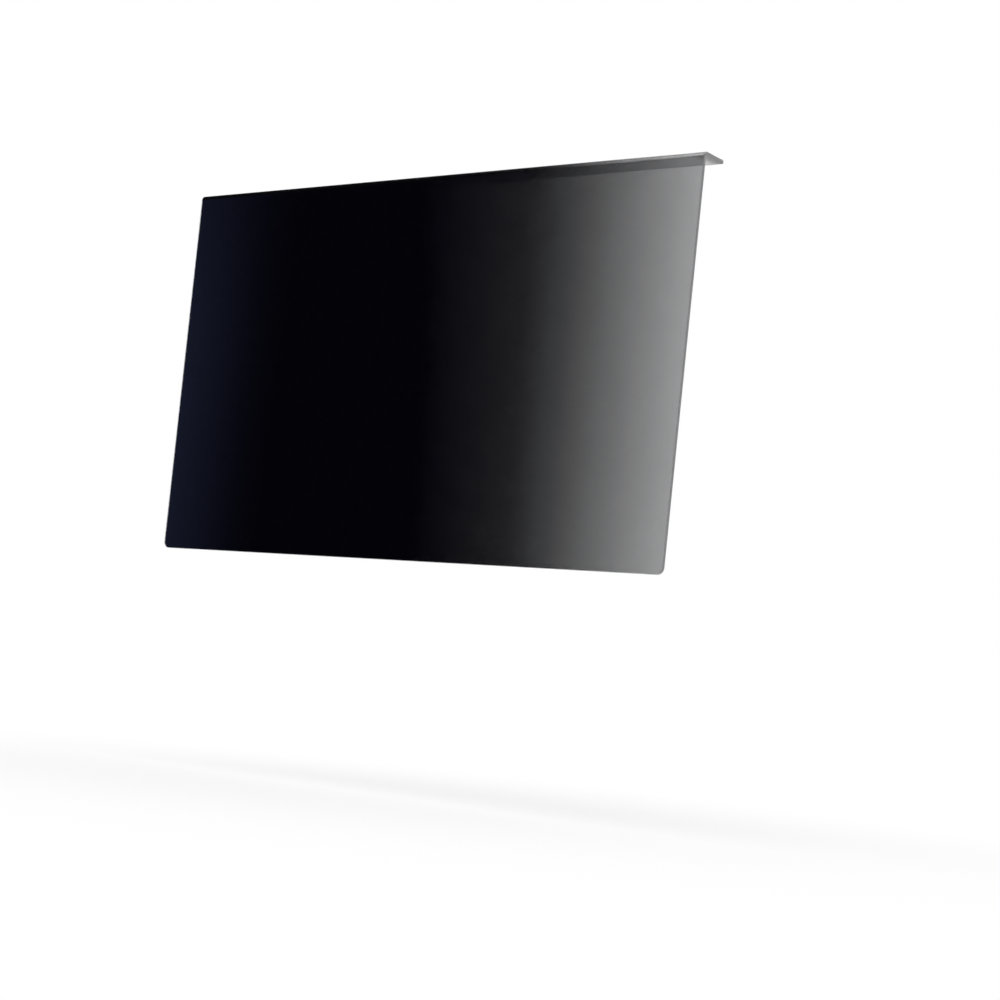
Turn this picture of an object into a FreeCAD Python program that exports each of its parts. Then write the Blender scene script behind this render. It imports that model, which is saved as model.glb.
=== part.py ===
import FreeCAD, Part
import os

from FreeCAD import Vector

# Hanging privacy filter: one acrylic sheet, bent back along its top edge into a lip.
# Millimetres, +Z up, +X along the width, the front face towards -Y.
# The origin is the middle of the lip's flat underside, which rests on the top of the monitor.

# Driving dimensions
SHEET_WIDTH = 550.0
PANEL_HEIGHT = 335.0  # top of the lip to the lower edge of the panel
LIP_DEPTH = 30.0  # front face of the panel to the rear edge of the lip
SHEET_THICKNESS = 3.0
BEND_INNER_RADIUS = 1.5
PANEL_CORNER_RADIUS = 6.0  # the two lower corners of the panel
LIP_CORNER_RADIUS = 1.0  # the two rear corners of the lip
EDGE_BREAK = 0.3  # polished bevel all round both faces of the sheet

# Places that follow from the driving dimensions
BEND_OUTER_RADIUS = BEND_INNER_RADIUS + SHEET_THICKNESS
SEAT_DEPTH = LIP_DEPTH - BEND_OUTER_RADIUS
LIP_REAR_Y = SEAT_DEPTH / 2
BEND_CENTRE_Y = -SEAT_DEPTH / 2
PANEL_BACK_Y = BEND_CENTRE_Y - BEND_INNER_RADIUS
PANEL_FRONT_Y = BEND_CENTRE_Y - BEND_OUTER_RADIUS
LIP_UNDERSIDE_Z = 0.0
LIP_TOP_Z = LIP_UNDERSIDE_Z + SHEET_THICKNESS
BEND_CENTRE_Z = LIP_UNDERSIDE_Z - BEND_INNER_RADIUS
PANEL_LOWER_Z = LIP_TOP_Z - PANEL_HEIGHT
SIDE_X = SHEET_WIDTH / 2

SNUG = 1e-6  # how near two values are to count as the same place


def line(start, end):
    """A straight edge of the section."""
    return Part.LineSegment(start, end).toShape()


def bend_arc(radius):
    """The quarter turn at the bend, from the lip round to the panel, about the bend's centre line."""
    centre = Vector(-SIDE_X, BEND_CENTRE_Y, BEND_CENTRE_Z)
    diagonal = Vector(0, -1, 1).normalize()
    on_lip = centre + Vector(0, 0, radius)
    on_panel = centre + Vector(0, -radius, 0)
    return Part.Arc(on_lip, centre + diagonal * radius, on_panel).toShape()


def section():
    """The sheet's L-shaped section, at its left-hand end."""

    def at(y, z):
        return Vector(-SIDE_X, y, z)

    return Part.Face(
        Part.Wire(
            [
                line(at(PANEL_BACK_Y, PANEL_LOWER_Z), at(PANEL_FRONT_Y, PANEL_LOWER_Z)),
                line(at(PANEL_FRONT_Y, PANEL_LOWER_Z), at(PANEL_FRONT_Y, BEND_CENTRE_Z)),
                bend_arc(BEND_OUTER_RADIUS),
                line(at(BEND_CENTRE_Y, LIP_TOP_Z), at(LIP_REAR_Y, LIP_TOP_Z)),
                line(at(LIP_REAR_Y, LIP_TOP_Z), at(LIP_REAR_Y, LIP_UNDERSIDE_Z)),
                line(at(LIP_REAR_Y, LIP_UNDERSIDE_Z), at(BEND_CENTRE_Y, LIP_UNDERSIDE_Z)),
                bend_arc(BEND_INNER_RADIUS),
                line(at(PANEL_BACK_Y, BEND_CENTRE_Z), at(PANEL_BACK_Y, PANEL_LOWER_Z)),
            ]
        )
    )


def lies_at(box, x=None, y=None, z=None):
    """Whether a box is flat at the given value on each axis that is given."""
    wanted = (
        (x, box.XMin, box.XMax),
        (y, box.YMin, box.YMax),
        (z, box.ZMin, box.ZMax),
    )
    return all(
        value is None or (abs(low - value) < SNUG and abs(high - value) < SNUG)
        for value, low, high in wanted
    )


def corner_edges(sheet, y=None, z=None):
    """The two short edges through the sheet's thickness, one at each side, at a given y or z."""
    return [
        edge
        for edge in sheet.Edges
        for side in (-SIDE_X, SIDE_X)
        if lies_at(edge.BoundBox, x=side, y=y, z=z)
    ]


def rim_edges(sheet):
    """The edges where either face of the sheet meets its cut rim."""

    def on_rim(face):
        surface = face.Surface
        if isinstance(surface, Part.Cylinder):
            return abs(surface.Axis.x) < SNUG
        box = face.BoundBox
        sides = lies_at(box, x=-SIDE_X) or lies_at(box, x=SIDE_X)
        return sides or lies_at(box, z=PANEL_LOWER_Z) or lies_at(box, y=LIP_REAR_Y)

    rim_faces = [face for face in sheet.Faces if on_rim(face)]

    def faces_touched(edge):
        return sum(any(edge.isSame(other) for other in face.Edges) for face in rim_faces)

    return [edge for edge in sheet.Edges if faces_touched(edge) == 1]


def filter_sheet():
    """The whole sheet, bent, with rounded corners and a bevelled rim."""
    sheet = section().extrude(Vector(SHEET_WIDTH, 0, 0))
    sheet = sheet.makeFillet(PANEL_CORNER_RADIUS, corner_edges(sheet, z=PANEL_LOWER_Z))
    sheet = sheet.makeFillet(LIP_CORNER_RADIUS, corner_edges(sheet, y=LIP_REAR_Y))
    return sheet.makeChamfer(EDGE_BREAK, rim_edges(sheet))


os.makedirs("parts", exist_ok=True)
filter_sheet().exportStep("parts/filter_sheet.step")
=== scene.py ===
"""Looks of a hanging monitor privacy filter: one acrylic sheet, bent back along its top into a lip.

Inside the sheet stand thousands of thin black louvres. They are real slats here, so the filter is clear
from the front and black from the side by itself, from any viewpoint. Metres, +Z up, front face to -Y.
"""

import logging
import math
from dataclasses import dataclass
from enum import IntEnum

import bpy
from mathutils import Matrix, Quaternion, Vector


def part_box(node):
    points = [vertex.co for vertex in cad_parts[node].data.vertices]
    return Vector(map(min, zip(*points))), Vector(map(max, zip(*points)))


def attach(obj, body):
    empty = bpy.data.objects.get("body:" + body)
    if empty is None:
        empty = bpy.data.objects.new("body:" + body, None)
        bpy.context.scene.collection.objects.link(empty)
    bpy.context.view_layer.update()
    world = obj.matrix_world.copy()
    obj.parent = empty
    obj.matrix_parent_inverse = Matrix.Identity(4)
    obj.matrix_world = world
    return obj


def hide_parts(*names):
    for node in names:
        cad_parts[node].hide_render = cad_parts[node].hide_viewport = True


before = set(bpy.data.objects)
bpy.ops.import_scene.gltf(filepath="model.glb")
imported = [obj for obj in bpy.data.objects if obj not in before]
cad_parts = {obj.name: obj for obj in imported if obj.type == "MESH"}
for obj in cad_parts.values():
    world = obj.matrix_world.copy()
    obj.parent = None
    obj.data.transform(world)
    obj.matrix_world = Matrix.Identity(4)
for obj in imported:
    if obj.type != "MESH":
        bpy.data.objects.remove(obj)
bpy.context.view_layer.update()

Colour = tuple[float, float, float, float]
Station = tuple[float, float]
Point = tuple[float, float, float]

SHEET_NODE = "filter_sheet"
BODY = "root"
ACRYLIC_REFRACTION = 1.49
EVEN_STRETCH: Point = (1.0, 1.0, 1.0)
CORNERS_PER_STATION = 4

LOG = logging.getLogger("privacy_filter")


class SheetFinish(IntEnum):
    """The sheet's material slots."""

    POLISHED_FACE = 0
    CUT_RIM = 1


class NodeBench:
    """A node tree being built, with short ways to add and join its nodes."""

    def __init__(self, tree: bpy.types.NodeTree) -> None:
        """Empties the tree.

        Args:
            tree: The node tree of a material or a world.
        """
        self.tree = tree
        self.tree.nodes.clear()

    def add(self, kind: str, **settings: object) -> bpy.types.Node:
        """Adds a node.

        Args:
            kind: Blender's name for the node type.
            settings: Properties of the node to set.

        Returns:
            The new node.
        """
        node = self.tree.nodes.new(kind)
        for name, value in settings.items():
            setattr(node, name, value)
        return node

    def join(self, source: bpy.types.NodeSocket, target: bpy.types.NodeSocket) -> None:
        """Links an output to an input."""
        self.tree.links.new(source, target)

    def maths(self, operation: str, *values: object) -> bpy.types.NodeSocket:
        """Adds a Math node.

        Args:
            operation: The sum to do, such as "MULTIPLY".
            values: Its inputs in order, each a number or an output socket.

        Returns:
            The node's output.
        """
        node = self.add("ShaderNodeMath", operation=operation)
        for socket, value in zip(node.inputs, values):
            if isinstance(value, bpy.types.NodeSocket):
                self.join(value, socket)
            else:
                socket.default_value = value
        return node.outputs[0]

    def span(self, value: bpy.types.NodeSocket, start: float, end: float,
             low: float = 0.0, high: float = 1.0) -> bpy.types.NodeSocket:
        """Eases a value from one range into another.

        Args:
            value: The output to read.
            start: Where the range begins.
            end: Where the range ends.
            low: The result at the start.
            high: The result at the end.

        Returns:
            The eased output.
        """
        node = self.add("ShaderNodeMapRange", interpolation_type="SMOOTHSTEP")
        self.join(value, node.inputs["Value"])
        node.inputs["From Min"].default_value = start
        node.inputs["From Max"].default_value = end
        node.inputs["To Min"].default_value = low
        node.inputs["To Max"].default_value = high
        return node.outputs["Result"]

    def blend(self, factor: bpy.types.NodeSocket, first: object, second: object) -> bpy.types.NodeSocket:
        """Mixes two colours.

        Args:
            factor: The share of the second colour.
            first: A colour or an output socket.
            second: A colour or an output socket.

        Returns:
            The mixed colour's output.
        """
        node = self.add("ShaderNodeMix", data_type="RGBA")
        self.join(factor, node.inputs["Factor"])
        colour_inputs = [socket for socket in node.inputs if socket.type == "RGBA"]
        for socket, value in zip(colour_inputs, (first, second)):
            if isinstance(value, bpy.types.NodeSocket):
                self.join(value, socket)
            else:
                socket.default_value = value
        return next(socket for socket in node.outputs if socket.type == "RGBA")

    def noise(self, scale: float, stretch: Point, detail: float) -> bpy.types.NodeSocket:
        """Adds noise laid out in the piece's own metres.

        Args:
            scale: Features per metre.
            stretch: How much faster the noise changes along each axis.
            detail: Octaves of finer noise.

        Returns:
            The noise's factor.
        """
        place = self.add("ShaderNodeTexCoord").outputs["Object"]
        mapping = self.add("ShaderNodeMapping")
        mapping.inputs["Scale"].default_value = stretch
        self.join(place, mapping.inputs["Vector"])
        noise = self.add("ShaderNodeTexNoise")
        noise.inputs["Scale"].default_value = scale
        noise.inputs["Detail"].default_value = detail
        self.join(mapping.outputs["Vector"], noise.inputs["Vector"])
        return noise.outputs["Fac"]

    def bump(self, height: bpy.types.NodeSocket, distance: float) -> bpy.types.NodeSocket:
        """Turns a height into a shading normal.

        Args:
            height: The height, from 0 to 1.
            distance: The height of 1, in metres.

        Returns:
            The normal's output.
        """
        node = self.add("ShaderNodeBump")
        node.inputs["Distance"].default_value = distance
        self.join(height, node.inputs["Height"])
        return node.outputs["Normal"]


def new_material(name: str) -> tuple[bpy.types.Material, NodeBench]:
    """Makes a material with an empty node tree.

    Args:
        name: The material's name.

    Returns:
        The material, and the bench for its nodes.
    """
    material = bpy.data.materials.new(name)
    material.use_nodes = True
    return material, NodeBench(material.node_tree)


@dataclass(frozen=True)
class PolishedAcrylic:
    """Smoked cast acrylic with the faint waviness and hairlines of a wiped sheet."""

    colour: Colour = (0.596, 0.60, 0.605, 1.0)
    smoothest: float = 0.006
    dullest: float = 0.03
    hairlines_per_metre: float = 60.0
    hairline_stretch: Point = (1.0, 1.0, 14.0)
    hairline_detail: float = 6.0
    hairlines_from: float = 0.45
    hairlines_to: float = 0.75
    waves_per_metre: float = 18.0
    wave_detail: float = 1.0
    wave_height: float = 0.000006

    def build(self) -> bpy.types.Material:
        """Makes the material.

        Returns:
            The finish of the sheet's two faces.
        """
        material, bench = new_material("polished_acrylic")
        shader = bench.add("ShaderNodeBsdfPrincipled")
        shader.inputs["Base Color"].default_value = self.colour
        shader.inputs["Transmission Weight"].default_value = 1.0
        shader.inputs["IOR"].default_value = ACRYLIC_REFRACTION
        hairlines = bench.noise(self.hairlines_per_metre, self.hairline_stretch, self.hairline_detail)
        dullness = bench.span(
            hairlines, self.hairlines_from, self.hairlines_to, self.smoothest, self.dullest
        )
        bench.join(dullness, shader.inputs["Roughness"])
        waves = bench.noise(self.waves_per_metre, EVEN_STRETCH, self.wave_detail)
        bench.join(bench.bump(waves, self.wave_height), shader.inputs["Normal"])
        output = bench.add("ShaderNodeOutputMaterial")
        bench.join(shader.outputs["BSDF"], output.inputs["Surface"])
        return material


@dataclass(frozen=True)
class CutAcrylic:
    """The sheet's cut rim: buffed, with fine cutter marks that run from front to back."""

    colour: Colour = (0.80, 0.805, 0.81, 1.0)
    clearness: float = 0.77
    smoothest: float = 0.12
    dullest: float = 0.20
    marks_per_metre: float = 900.0
    mark_stretch: Point = (1.0, 0.15, 1.0)
    mark_detail: float = 3.0
    marks_from: float = 0.35
    marks_to: float = 0.65
    mark_height: float = 0.000003

    def build(self) -> bpy.types.Material:
        """Makes the material.

        Returns:
            The finish of the rim and its bevels.
        """
        material, bench = new_material("cut_acrylic_rim")
        shader = bench.add("ShaderNodeBsdfPrincipled")
        shader.inputs["Base Color"].default_value = self.colour
        shader.inputs["Transmission Weight"].default_value = self.clearness
        shader.inputs["IOR"].default_value = ACRYLIC_REFRACTION
        marks = bench.noise(self.marks_per_metre, self.mark_stretch, self.mark_detail)
        dullness = bench.span(marks, self.marks_from, self.marks_to, self.smoothest, self.dullest)
        bench.join(dullness, shader.inputs["Roughness"])
        bench.join(bench.bump(marks, self.mark_height), shader.inputs["Normal"])
        output = bench.add("ShaderNodeOutputMaterial")
        bench.join(shader.outputs["BSDF"], output.inputs["Surface"])
        return material


@dataclass(frozen=True)
class LouvreBlack:
    """The matt black of the louvres, a little uneven along each slat."""

    deep: Colour = (0.0010, 0.0010, 0.0014, 1.0)
    pale: Colour = (0.0035, 0.0035, 0.0045, 1.0)
    roughness: float = 0.9
    patches_per_metre: float = 120.0
    patch_detail: float = 2.0
    patches_from: float = 0.3
    patches_to: float = 0.7

    def build(self) -> bpy.types.Material:
        """Makes the material.

        Returns:
            The finish of the louvres.
        """
        material, bench = new_material("louvre_black")
        shader = bench.add("ShaderNodeBsdfPrincipled")
        patches = bench.noise(self.patches_per_metre, EVEN_STRETCH, self.patch_detail)
        share = bench.span(patches, self.patches_from, self.patches_to)
        bench.join(bench.blend(share, self.deep, self.pale), shader.inputs["Base Color"])
        shader.inputs["Roughness"].default_value = self.roughness
        shader.inputs["Specular IOR Level"].default_value = 0.0
        output = bench.add("ShaderNodeOutputMaterial")
        bench.join(shader.outputs["BSDF"], output.inputs["Surface"])
        return material


@dataclass(frozen=True)
class PaleFloor:
    """A pale floor that keeps a soft shadow and, where it is seen or mirrored, goes over into white."""

    colour: Colour = (0.85, 0.85, 0.85, 1.0)
    shadow_reach: float = 0.15
    white_from: float = 0.8
    least_glow: float = 0.55

    def build(self) -> bpy.types.Material:
        """Makes the material.

        Returns:
            The finish of the floor.
        """
        material, bench = new_material("pale_floor")
        place = bench.add("ShaderNodeTexCoord").outputs["Object"]
        length = bench.add("ShaderNodeVectorMath", operation="LENGTH")
        bench.join(place, length.inputs[0])
        share = bench.span(length.outputs["Value"], self.shadow_reach, self.white_from, self.least_glow)
        ray = bench.add("ShaderNodeLightPath")
        seen = bench.maths("MAXIMUM", ray.outputs["Is Camera Ray"], ray.outputs["Is Glossy Ray"])
        seen = bench.maths("MAXIMUM", seen, ray.outputs["Is Transmission Ray"])
        lit = bench.add("ShaderNodeBsdfDiffuse")
        lit.inputs["Color"].default_value = self.colour
        glow = bench.add("ShaderNodeEmission")
        mix = bench.add("ShaderNodeMixShader")
        bench.join(bench.maths("MULTIPLY", share, seen), mix.inputs[0])
        bench.join(lit.outputs[0], mix.inputs[1])
        bench.join(glow.outputs[0], mix.inputs[2])
        output = bench.add("ShaderNodeOutputMaterial")
        bench.join(mix.outputs[0], output.inputs["Surface"])
        return material


@dataclass
class SheetPath:
    """The bent sheet's section: up the panel, round the bend and back along the lip.

    A place on it is given by the length along the middle of the sheet, from the panel's lower edge, and
    by the height above that middle, outwards to the front and the top.
    """

    low: Vector
    high: Vector
    thickness: float = 0.003
    bend_inner_radius: float = 0.0015
    panel_corner_radius: float = 0.006

    def __post_init__(self) -> None:
        """Works out the section from the sheet's box."""
        self.middle_radius = self.bend_inner_radius + self.thickness / 2
        outer_radius = self.bend_inner_radius + self.thickness
        self.bend_y = self.low.y + outer_radius
        self.bend_z = self.high.z - outer_radius
        self.bend_start = self.bend_z - self.low.z
        self.bend_end = self.bend_start + self.middle_radius * math.pi / 2
        self.length = self.bend_end + self.high.y - self.bend_y
        self.half_width = (self.high.x - self.low.x) / 2
        self.middle_x = (self.high.x + self.low.x) / 2

    def place(self, along: float, height: float) -> Station:
        """Finds a point of the section.

        Args:
            along: Length along the middle of the sheet.
            height: Distance from the middle of the sheet, outwards.

        Returns:
            The point's y and z.
        """
        radius = self.middle_radius + height
        if along <= self.bend_start:
            return self.bend_y - radius, self.low.z + along
        if along >= self.bend_end:
            return self.bend_y + along - self.bend_end, self.bend_z + radius
        turn = (along - self.bend_start) / self.middle_radius
        return self.bend_y - radius * math.cos(turn), self.bend_z + radius * math.sin(turn)

    def bend_share(self, along: float) -> float:
        """How far round the bend a place is: 0 on the panel, 1 on the lip."""
        return min(max((along - self.bend_start) / (self.bend_end - self.bend_start), 0.0), 1.0)

    def bend_stations(self, steps: int) -> list[float]:
        """Lengths along the bend, from its start to its end, in even steps."""
        bend_length = self.bend_end - self.bend_start
        return [self.bend_start + bend_length * k / steps for k in range(steps + 1)]


@dataclass
class BentSheet:
    """The acrylic sheet, with rounded corners and a bevelled rim."""

    path: SheetPath
    lip_corner_radius: float = 0.001
    edge_break: float = 0.0003
    corner_steps: int = 10
    bend_steps: int = 28
    crease_angle: float = math.radians(30)

    def outline(self, inset: float) -> list[Station]:
        """Half of the flat blank's outline, from its lower edge to its rear edge.

        Args:
            inset: How far the outline lies inside the sheet's rim.

        Returns:
            Length along the sheet and half width at each station.
        """
        half = self.path.half_width
        lower_along = self.path.panel_corner_radius
        lower_across = half - self.path.panel_corner_radius
        lower_radius = self.path.panel_corner_radius - inset
        rear_along = self.path.length - self.lip_corner_radius
        rear_across = half - self.lip_corner_radius
        rear_radius = self.lip_corner_radius - inset
        turns = [math.pi / 2 * k / self.corner_steps for k in range(self.corner_steps + 1)]
        lower = [
            (lower_along - lower_radius * math.cos(a), lower_across + lower_radius * math.sin(a))
            for a in turns
        ]
        bend = [(along, half - inset) for along in self.path.bend_stations(self.bend_steps)]
        rear = [
            (rear_along + rear_radius * math.sin(a), rear_across + rear_radius * math.cos(a))
            for a in turns
        ]
        return lower + bend + rear

    def ring(self, inset: float, height: float) -> list[Point]:
        """The outline's points all the way round: up the right side and back down the left.

        Args:
            inset: How far the ring lies inside the sheet's rim.
            height: Distance from the middle of the sheet, outwards.

        Returns:
            The points, in the row frame.
        """
        stations = self.outline(inset)
        placed = [(half, *self.path.place(along, height)) for along, half in stations]
        right = [(self.path.middle_x + x, y, z) for x, y, z in placed]
        left = [(self.path.middle_x - x, y, z) for x, y, z in reversed(placed)]
        return right + left

    def build(self) -> bpy.types.Object:
        """Makes the sheet's closed mesh.

        Returns:
            The sheet, not yet dressed.
        """
        skin = self.path.thickness / 2
        rings = [
            self.ring(self.edge_break, skin),
            self.ring(0.0, skin - self.edge_break),
            self.ring(0.0, self.edge_break - skin),
            self.ring(self.edge_break, -skin),
        ]
        count = len(rings[0])
        points = [point for ring in rings for point in ring]
        faces, finishes = [], []
        for first in (0, count * (len(rings) - 1)):
            for k in range(count // 2 - 1):
                right, left = first + k, first + count - 1 - k
                face = [right, right + 1, left - 1, left]
                faces.append(face[::-1] if first else face)
                finishes.append(SheetFinish.POLISHED_FACE)
        for first in range(0, count * (len(rings) - 1), count):
            inner = first + count
            for k in range(count):
                following = (k + 1) % count
                faces.append([first + k, inner + k, inner + following, first + following])
                finishes.append(SheetFinish.CUT_RIM)
        mesh = bpy.data.meshes.new("bent_sheet")
        mesh.from_pydata(points, [], faces)
        mesh.polygons.foreach_set("material_index", finishes)
        mesh.polygons.foreach_set("use_smooth", [True] * len(faces))
        mesh.set_sharp_from_angle(angle=self.crease_angle)
        mesh.validate()
        sheet = bpy.data.objects.new("bent_sheet", mesh)
        bpy.context.scene.collection.objects.link(sheet)
        return sheet

    def dress(self, sheet: bpy.types.Object) -> None:
        """Gives the sheet its finishes and its place on the frame.

        Args:
            sheet: The sheet that build() made.
        """
        finishes = {
            SheetFinish.POLISHED_FACE: PolishedAcrylic(),
            SheetFinish.CUT_RIM: CutAcrylic(),
        }
        for slot in sorted(finishes):
            sheet.data.materials.append(finishes[slot].build())
        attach(sheet, BODY)
        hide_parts(SHEET_NODE)


@dataclass
class LouvreField:
    """Upright black slats inside the sheet, each running up the panel, round the bend and into the lip."""

    path: SheetPath
    pitch: float = 0.000125
    slat_thickness: float = 0.0000125
    panel_depth: float = 0.000272
    lip_depth: float = 0.00002
    lip_end_depth: float = 0.00022
    lip_end_reach: float = 0.014
    rim_margin: float = 0.0003
    end_lean: float = 0.228
    lean_power: int = 3
    uneven_depth: float = 0.45
    depth_cycle: tuple[int, ...] = (0, 2, 1, 3)
    bend_steps: int = 2

    def lean(self, across: float) -> float:
        """How far a slat leans outwards, as a slope, growing towards the two ends of the field.

        Args:
            across: The slat's distance from the middle of the sheet, to the right.

        Returns:
            Sideways travel for each unit of height outwards.
        """
        share = across / self.path.half_width
        return self.end_lean * share ** self.lean_power

    def start(self, across: float) -> float:
        """Where a slat begins above the panel's lower edge, following the rounded corners.

        Args:
            across: The slat's distance from the middle of the sheet, to the right.

        Returns:
            Length along the sheet.
        """
        radius = self.path.panel_corner_radius
        into_corner = max(abs(across) - (self.path.half_width - radius), 0.0)
        reach = radius - self.rim_margin
        return radius - math.sqrt(max(reach ** 2 - into_corner ** 2, 0.0))

    def fullness(self, number: int) -> float:
        """A slat's depth against the mean, in a cycle too short to show as stripes.

        Args:
            number: The slat's number, counted from the middle of the sheet.

        Returns:
            A factor around 1.
        """
        level = self.depth_cycle[abs(number) % len(self.depth_cycle)]
        spread = (level + 0.5) / len(self.depth_cycle)
        return 1.0 + self.uneven_depth * (2.0 * spread - 1.0)

    def depth(self, along: float, across: float) -> float:
        """A slat's mean depth, full on the panel and thinning out in the bend's rear half, to the lip.

        The slats near the two ends of the lip keep more of their depth.

        Args:
            along: Length along the sheet.
            across: The slat's distance from the middle of the sheet, to the right.

        Returns:
            The depth through the sheet.
        """
        from_end = self.path.half_width - abs(across)
        near_end = max(1.0 - from_end / self.lip_end_reach, 0.0)
        lip_depth = self.lip_depth + (self.lip_end_depth - self.lip_depth) * near_end
        thinned = max(2.0 * self.path.bend_share(along) - 1.0, 0.0)
        return self.panel_depth + (lip_depth - self.panel_depth) * thinned

    def slat(self, number: int) -> list[Point]:
        """One slat's points, four at each station: outer and inner edge, left and right side.

        Args:
            number: The slat's number, counted from the middle of the sheet to the right.

        Returns:
            The points, in the row frame.
        """
        across = number * self.pitch
        bend = self.path.bend_stations(self.bend_steps)
        stations = [self.start(across), *bend, self.path.length - self.rim_margin]
        points = []
        for along in stations:
            half_depth = self.depth(along, across) * self.fullness(number) / 2
            for height in (half_depth, -half_depth):
                y, z = self.path.place(along, height)
                middle = self.path.middle_x + across + self.lean(across) * height
                points.append((middle - self.slat_thickness / 2, y, z))
                points.append((middle + self.slat_thickness / 2, y, z))
        return points

    def build(self) -> bpy.types.Object:
        """Makes all slats as one mesh of closed thin plates.

        Returns:
            The louvres, not yet dressed.
        """
        reach = self.path.half_width - self.rim_margin
        half_count = int(reach / self.pitch)
        points, faces = [], []
        for number in range(-half_count, half_count + 1):
            first = len(points)
            points += self.slat(number)
            last = len(points) - CORNERS_PER_STATION
            faces.append((first, first + 2, first + 3, first + 1))
            for a in range(first, last, CORNERS_PER_STATION):
                b = a + CORNERS_PER_STATION
                faces.append((a, a + 1, b + 1, b))
                faces.append((a + 1, a + 3, b + 3, b + 1))
                faces.append((a + 3, a + 2, b + 2, b + 3))
                faces.append((a + 2, a, b, b + 2))
            faces.append((last, last + 1, last + 3, last + 2))
        mesh = bpy.data.meshes.new("micro_louvres")
        mesh.from_pydata(points, [], faces)
        mesh.validate()
        louvres = bpy.data.objects.new("micro_louvres", mesh)
        bpy.context.scene.collection.objects.link(louvres)
        return louvres

    def dress(self, louvres: bpy.types.Object) -> None:
        """Gives the louvres their finish and their place on the frame.

        Args:
            louvres: The louvres that build() made.
        """
        louvres.data.materials.append(LouvreBlack().build())
        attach(louvres, BODY)


@dataclass
class Viewpoint:
    """The camera, at the photograph's viewing angle.

    The photograph is cropped off its optical axis, up and to the right, so the camera has a shift.
    """

    path: SheetPath
    aim_across: float = 0.0660
    aim_below_lower_edge: float = 0.0428
    distance: float = 1.7406
    turn_left: float = math.radians(37.933)
    look_up: float = math.radians(2.229)
    roll: float = math.radians(6.001)
    lens: float = 74.79
    sensor: float = 36.0
    shift_right: float = 0.0556
    shift_up: float = 0.1139
    nearest_seen: float = 0.01

    def build(self) -> None:
        """Makes the camera and hands it to the scene."""
        aim = Vector((
            self.path.middle_x + self.aim_across,
            self.path.low.y,
            self.path.low.z - self.aim_below_lower_edge,
        ))
        forward = Vector((
            -math.sin(self.turn_left) * math.cos(self.look_up),
            math.cos(self.turn_left) * math.cos(self.look_up),
            math.sin(self.look_up),
        ))
        data = bpy.data.cameras.new("viewpoint")
        data.lens = self.lens
        data.sensor_width = self.sensor
        data.shift_x = self.shift_right
        data.shift_y = self.shift_up
        data.clip_start = self.nearest_seen
        camera = bpy.data.objects.new("viewpoint", data)
        camera.location = aim - forward * self.distance
        camera.rotation_mode = "QUATERNION"
        level = forward.to_track_quat("-Z", "Y")
        camera.rotation_quaternion = level @ Quaternion((0.0, 0.0, 1.0), self.roll)
        bpy.context.scene.collection.objects.link(camera)
        bpy.context.scene.camera = camera


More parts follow.
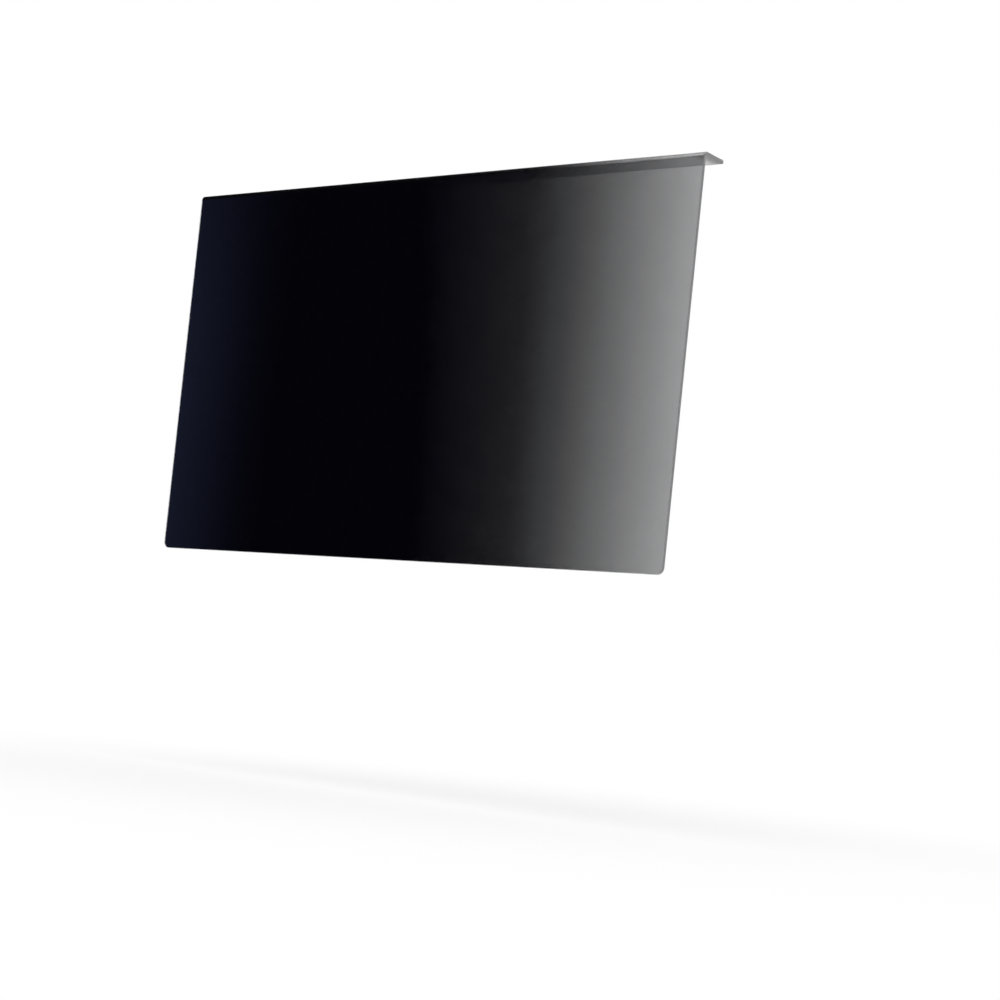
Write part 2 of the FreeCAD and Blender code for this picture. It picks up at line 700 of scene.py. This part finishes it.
@dataclass
class Studio:
    """A pale floor well below the hanging sheet, a white background, and soft light from all round.

    What the gloss mirrors is dark in front of the sheet, navy to the left of that and white behind the
    sheet, with a softbox overhead that is brightest towards the front.
    """

    path: SheetPath
    floor_drop: float = 0.2
    floor_size: float = 40.0
    white: Colour = (1.0, 1.0, 1.0, 1.0)
    front_dark: Colour = (0.022, 0.019, 0.046, 1.0)
    left_navy: Colour = (0.252, 0.311, 0.666, 1.0)
    sky_dim: Colour = (0.04, 0.04, 0.05, 1.0)
    navy_from: float = math.radians(43.2)
    navy_to: float = math.radians(48.2)
    navy_fade_from: float = 0.14
    navy_fade_to: float = 0.30
    navy_aloft: float = 0.4
    white_from: float = math.radians(60.0)
    white_to: float = math.radians(100.0)
    horizon_fade: float = 0.055
    sky_from: float = 0.29
    sky_to: float = 0.36
    softbox_front: Colour = (5.5, 5.5, 5.5, 1.0)
    softbox_rear: Colour = (2.0, 2.0, 2.0, 1.0)
    softbox_reach: float = 0.6
    softbox_side_from: float = 0.505
    softbox_side_to: float = 0.58
    lamp_height: float = 1.6
    lamp_ahead: float = 0.8
    lamp_size: float = 1.6
    lamp_power: float = 6.0

    def build_floor(self) -> None:
        """Lays the floor, which is not part of the object."""
        reach = self.floor_size / 2
        corners = [
            (-reach, -reach, 0.0),
            (reach, -reach, 0.0),
            (reach, reach, 0.0),
            (-reach, reach, 0.0),
        ]
        mesh = bpy.data.meshes.new("floor")
        mesh.from_pydata(corners, [], [(0, 1, 2, 3)])
        mesh.materials.append(PaleFloor().build())
        floor = bpy.data.objects.new("floor", mesh)
        floor.location = (self.path.middle_x, 0.0, self.path.low.z - self.floor_drop)
        bpy.context.scene.collection.objects.link(floor)

    def build_world(self) -> None:
        """Makes the background, which also lights the scene evenly."""
        world = bpy.data.worlds.new("studio")
        world.use_nodes = True
        world.cycles.sampling_method = "NONE"
        bench = NodeBench(world.node_tree)
        way = bench.add("ShaderNodeSeparateXYZ")
        bench.join(bench.add("ShaderNodeTexCoord").outputs["Generated"], way.inputs[0])
        across = bench.maths("ABSOLUTE", way.outputs["X"])
        leftwards = bench.maths("MULTIPLY", way.outputs["X"], -1.0)
        ahead = bench.maths("MULTIPLY", way.outputs["Y"], -1.0)
        rise = way.outputs["Z"]
        to_left = bench.span(bench.maths("ARCTAN2", leftwards, ahead), self.navy_from, self.navy_to)
        fading = bench.span(rise, self.navy_fade_from, self.navy_fade_to, 1.0, self.navy_aloft)
        navy = bench.maths("MULTIPLY", to_left, fading)
        white = bench.span(bench.maths("ARCTAN2", across, ahead), self.white_from, self.white_to)
        above_horizon = bench.span(rise, 0.0, self.horizon_fade)
        sky = bench.span(rise, self.sky_from, self.sky_to)
        mirrored = bench.blend(navy, self.front_dark, self.left_navy)
        mirrored = bench.blend(white, mirrored, self.white)
        mirrored = bench.blend(above_horizon, self.white, mirrored)
        mirrored = bench.blend(sky, mirrored, self.sky_dim)
        beside = bench.span(across, self.softbox_side_from, self.softbox_side_to, 1.0, 0.0)
        nearness = bench.span(ahead, -self.softbox_reach, self.softbox_reach)
        softbox = bench.blend(nearness, self.softbox_rear, self.softbox_front)
        mirrored = bench.blend(bench.maths("MULTIPLY", sky, beside), mirrored, softbox)
        ray = bench.add("ShaderNodeLightPath")
        passed = bench.maths("SUBTRACT", 1.0, ray.outputs["Is Transmission Ray"])
        in_mirror = bench.maths("MULTIPLY", ray.outputs["Is Glossy Ray"], passed)
        background = bench.add("ShaderNodeBackground")
        bench.join(bench.blend(in_mirror, self.white, mirrored), background.inputs["Color"])
        output = bench.add("ShaderNodeOutputWorld")
        bench.join(background.outputs[0], output.inputs["Surface"])
        bpy.context.scene.world = world

    def build_lamp(self) -> None:
        """Hangs one large soft lamp above and in front of the sheet, for the floor's shadow."""
        data = bpy.data.lights.new("overhead_lamp", "AREA")
        data.size = self.lamp_size
        data.energy = self.lamp_power
        lamp = bpy.data.objects.new("overhead_lamp", data)
        lamp.location = (self.path.middle_x, -self.lamp_ahead, self.path.high.z + self.lamp_height)
        lamp.visible_glossy = False
        bpy.context.scene.collection.objects.link(lamp)

    def build(self) -> None:
        """Makes the whole studio."""
        self.build_floor()
        self.build_world()
        self.build_lamp()
        bpy.context.scene.view_settings.view_transform = "Standard"


def main() -> None:
    """Builds the sheet, its louvres and the studio."""
    logging.basicConfig(level=logging.INFO, format="%(name)s: %(message)s")
    path = SheetPath(*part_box(SHEET_NODE))
    for part in (BentSheet(path), LouvreField(path)):
        piece = part.build()
        part.dress(piece)
        mesh = piece.data
        LOG.info("%s: %d points, %d faces", piece.name, len(mesh.vertices), len(mesh.polygons))
    Viewpoint(path).build()
    Studio(path).build()
    LOG.info("studio and camera ready")


if __name__ == "__main__":
    main()
